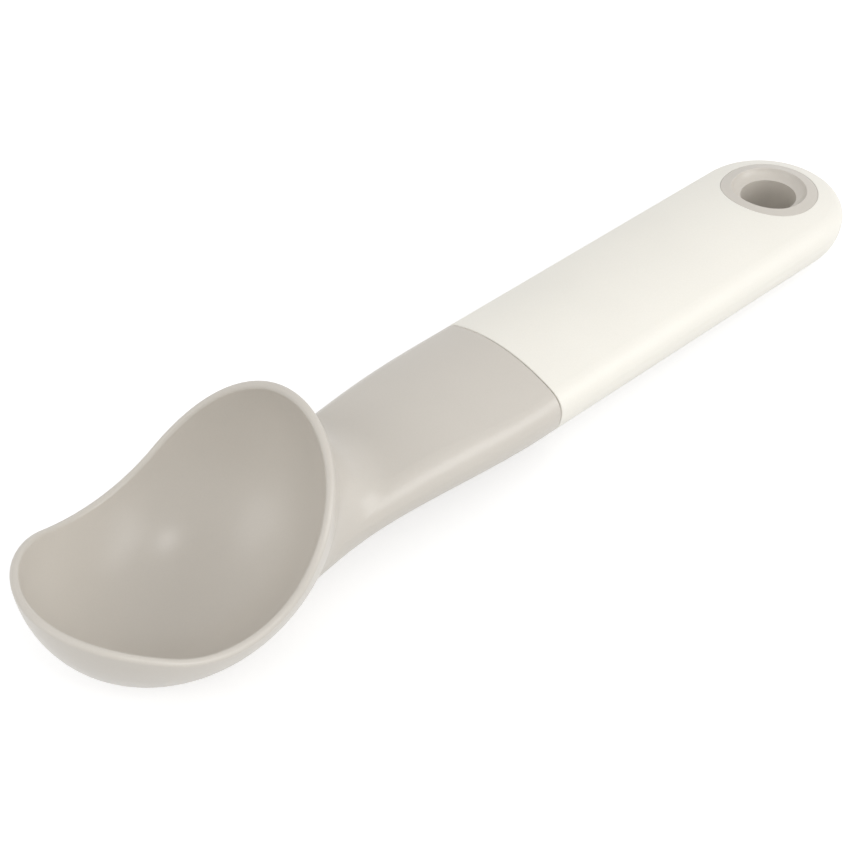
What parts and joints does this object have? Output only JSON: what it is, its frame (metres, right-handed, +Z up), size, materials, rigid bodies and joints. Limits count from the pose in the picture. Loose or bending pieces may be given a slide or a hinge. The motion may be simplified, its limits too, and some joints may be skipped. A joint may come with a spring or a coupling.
{
  "type": "ice cream scoop",
  "caption": "One-hand ice cream scoop: deep oval bowl with a saddle-shaped lip, flat waisted neck, rounded hollow grip sleeve and a through hole for hanging.",
  "frame": {"origin": "centre of the bounding box in plan, on the table that the scoop rests on", "axes": "+X along the scoop from bowl to hanging end, +Y across it, +Z up with the bowl open upwards; the scoop lies as it rests, on the bottom of the bowl and the end of the grip"},
  "size_m": [0.2004, 0.0468, 0.0383],
  "materials": {
    "scoop": "satin moulded, very fine grain",
    "grip_sleeve": "satin moulded, very fine grain",
    "hanging_eye": "satin moulded"
  },
  "bodies": {
    "root": {"scoop": "scoop", "grip_sleeve": "grip_sleeve", "hanging_eye": "hanging_eye"}
  },
  "joints": []
}
